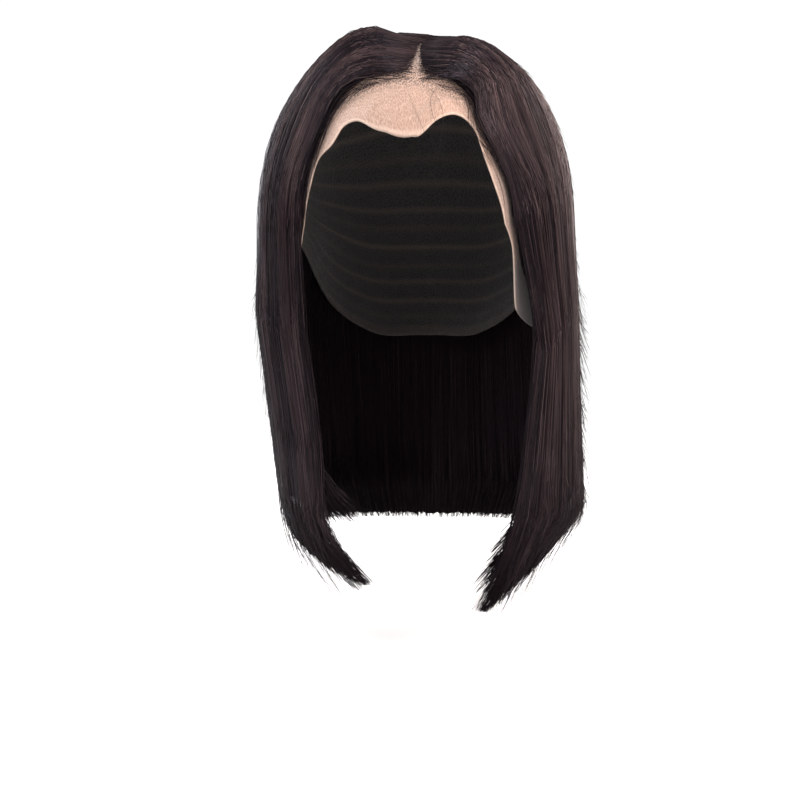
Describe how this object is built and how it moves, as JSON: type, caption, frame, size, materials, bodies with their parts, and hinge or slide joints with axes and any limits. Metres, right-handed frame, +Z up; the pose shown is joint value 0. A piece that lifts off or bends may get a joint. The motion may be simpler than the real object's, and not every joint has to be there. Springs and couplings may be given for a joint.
{
  "type": "real hair wig",
  "caption": "Lace-front wig of straight dark hair cut as a shoulder-length bob, parted in the middle, on a stretch cap with a scalloped sheer lace edge.",
  "frame": {"origin": "inside of the cap's crown, where the top of the wearer's head bears", "axes": "+Z up, the face opening looks along -Y, +X is the wearer's left"},
  "size_m": [0.1922, 0.1994, 0.3321],
  "materials": {
    "lace": "sheer net",
    "cap": "matt stretch net",
    "hair": "satin strands"
  },
  "bodies": {
    "root": {"lace_front": "lace", "cap": "cap", "hair_left": "hair", "hair_right": "hair", "hair_back": "hair"}
  },
  "joints": []
}
